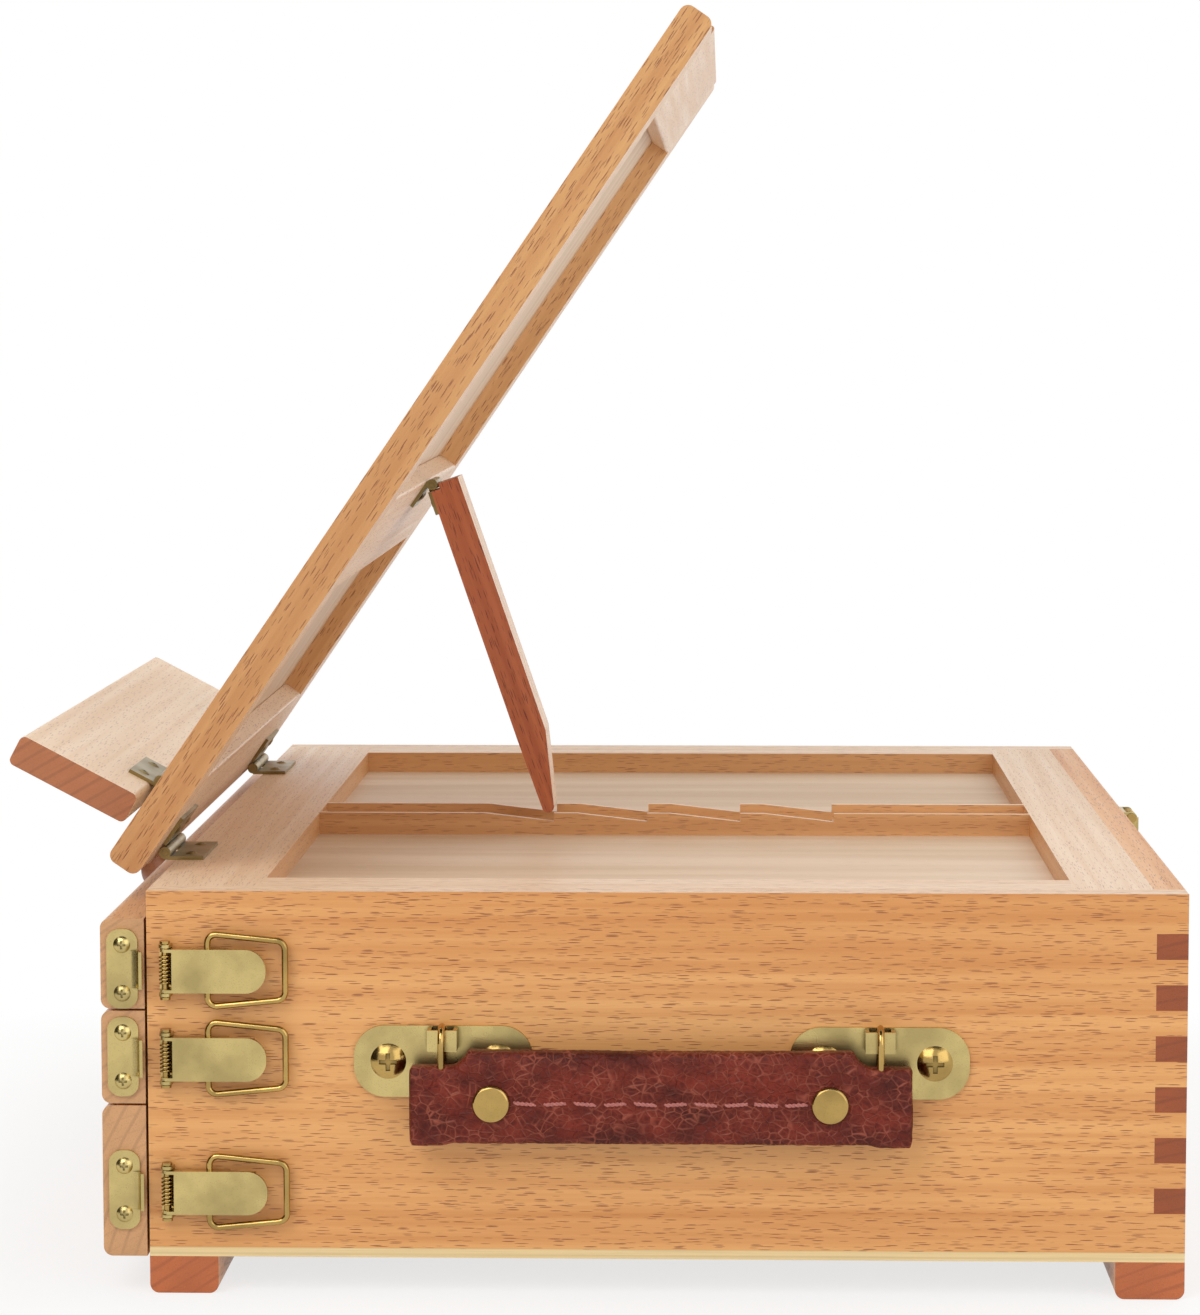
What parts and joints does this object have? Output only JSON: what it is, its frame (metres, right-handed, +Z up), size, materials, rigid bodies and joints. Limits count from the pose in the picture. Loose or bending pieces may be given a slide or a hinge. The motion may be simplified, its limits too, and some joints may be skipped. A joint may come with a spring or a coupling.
{
  "type": "sketch box easel",
  "caption": "Wooden table sketch box with sliding drawers, a leather carrying handle, toggle latches and a hinged easel frame held up by a prop strut over a notched bar.",
  "frame": {"origin": "middle of the whole object's footprint, on the surface it stands on", "axes": "+X from the drawer fronts to the back, +Y from the handle side to the far side, +Z up"},
  "size_m": [0.3896, 0.4362, 0.4119],
  "materials": {
    "beech": "satin lacquer",
    "plywood": "satin lacquer",
    "knob_wood": "satin lacquer",
    "brass": "polished",
    "wire": "polished",
    "leather": "pebbled"
  },
  "bodies": {
    "box": {"side_wall_near": "beech", "side_wall_far": "beech", "back_wall": "beech", "bottom_panel": "plywood", "feet": "beech", "top_front_rail": "beech", "top_back_rail": "beech", "top_side_rails": "beech", "notch_bar": "beech", "top_panel": "plywood", "drawer_runners": "beech", "latch_base_plates": "brass", "latch_pins": "brass", "latch_springs": "wire", "box_hinge_leaves": "brass", "box_screws": "brass", "handle_saddles": "brass", "handle_saddle_screws": "brass"},
    "bottom_drawer": {"bottom_drawer_front": "beech", "bottom_drawer_walls": "beech", "bottom_drawer_bottom": "plywood", "bottom_drawer_knob": "knob_wood", "bottom_drawer_catch": "brass"},
    "middle_drawer": {"middle_drawer_front": "beech", "middle_drawer_walls": "beech", "middle_drawer_bottom": "plywood", "middle_drawer_knob": "knob_wood", "middle_drawer_catch": "brass"},
    "top_drawer": {"top_drawer_front": "beech", "top_drawer_walls": "beech", "top_drawer_bottom": "plywood", "top_drawer_knob": "knob_wood", "top_drawer_catch": "brass"},
    "easel_frame": {"panel_board": "plywood", "panel_near_stile": "beech", "panel_far_stile": "beech", "panel_top_rail": "beech", "panel_cross_rail": "beech", "panel_bottom_rail": "beech", "panel_hinge_leaves": "brass", "ledge_hinge_panel_leaves": "brass", "strut_hinge_rail_leaf": "brass", "hinge_pins": "brass", "panel_screws": "brass", "panel_catch": "brass"},
    "ledge": {"ledge_board": "beech", "ledge_hinge_leaves": "brass"},
    "prop_strut": {"prop_strut": "beech", "strut_hinge_leaf": "brass"},
    "handle": {"handle_grip": "leather", "handle_rings": "brass", "handle_rivets": "brass"},
    "bottom_latch_lever": {"bottom_latch_lever": "brass"},
    "bottom_latch_bail": {"bottom_latch_bail": "wire"},
    "middle_latch_lever": {"middle_latch_lever": "brass"},
    "middle_latch_bail": {"middle_latch_bail": "wire"},
    "top_latch_lever": {"top_latch_lever": "brass"},
    "top_latch_bail": {"top_latch_bail": "wire"},
    "back_latch_lever": {"back_latch_lever": "brass"},
    "back_latch_bail": {"back_latch_bail": "wire"}
  },
  "joints": [
    {"name": "bottom_drawer_slide", "type": "slide", "parent": "box", "child": "bottom_drawer", "axis": [-1, 0, 0], "range_m": [0, 0.2]},
    {"name": "middle_drawer_slide", "type": "slide", "parent": "box", "child": "middle_drawer", "axis": [-1, 0, 0], "range_m": [0, 0.2]},
    {"name": "top_drawer_slide", "type": "slide", "parent": "box", "child": "top_drawer", "axis": [-1, 0, 0], "range_m": [0, 0.2]},
    {"name": "easel_frame_hinge", "type": "hinge", "parent": "box", "child": "easel_frame", "pos_m": [-0.14482, 0.00805, 0.1323], "axis": [0, 1, 0], "range_deg": [0, 55.6]},
    {"name": "ledge_hinge", "type": "hinge", "parent": "easel_frame", "child": "ledge", "pos_m": [-0.14937, 0.00805, 0.15396], "axis": [0, 1, 0], "range_deg": [0, 94]},
    {"name": "prop_strut_hinge", "type": "hinge", "parent": "easel_frame", "child": "prop_strut", "pos_m": [-0.06403, 0.00805, 0.25029], "axis": [0, -1, 0], "range_deg": [0, 126.7]},
    {"name": "handle_swing", "type": "hinge", "parent": "box", "child": "handle", "pos_m": [0.02288, -0.20915, 0.0835], "axis": [-1, 0, 0], "range_deg": [0, 100]},
    {"name": "bottom_lever_hinge", "type": "hinge", "parent": "box", "child": "bottom_latch_lever", "pos_m": [-0.13452, -0.20495, 0.0337], "axis": [0, 0, -1], "range_deg": [0, 80]},
    {"name": "bottom_bail_hinge", "type": "hinge", "parent": "bottom_latch_lever", "child": "bottom_latch_bail", "pos_m": [-0.12102, -0.20495, 0.0337], "axis": [0, 0, -1], "range_deg": [0, 115]},
    {"name": "middle_lever_hinge", "type": "hinge", "parent": "box", "child": "middle_latch_lever", "pos_m": [-0.13452, -0.20495, 0.07675], "axis": [0, 0, -1], "range_deg": [0, 80]},
    {"name": "middle_bail_hinge", "type": "hinge", "parent": "middle_latch_lever", "child": "middle_latch_bail", "pos_m": [-0.12102, -0.20495, 0.07675], "axis": [0, 0, -1], "range_deg": [0, 115]},
    {"name": "top_lever_hinge", "type": "hinge", "parent": "box", "child": "top_latch_lever", "pos_m": [-0.13452, -0.20495, 0.10505], "axis": [0, 0, -1], "range_deg": [0, 80]},
    {"name": "top_bail_hinge", "type": "hinge", "parent": "top_latch_lever", "child": "top_latch_bail", "pos_m": [-0.12102, -0.20495, 0.10505], "axis": [0, 0, -1], "range_deg": [0, 115]},
    {"name": "back_lever_hinge", "type": "hinge", "parent": "box", "child": "back_latch_lever", "pos_m": [0.19218, 0.00805, 0.128], "axis": [0, -1, 0], "range_deg": [0, 80]},
    {"name": "back_bail_hinge", "type": "hinge", "parent": "back_latch_lever", "child": "back_latch_bail", "pos_m": [0.19218, 0.00805, 0.1145], "axis": [0, -1, 0], "range_deg": [0, 115]}
  ],
  "couplings": [
    {"joint": "prop_strut_hinge", "follows": "easel_frame_hinge", "ratio": 2.2777}
  ]
}
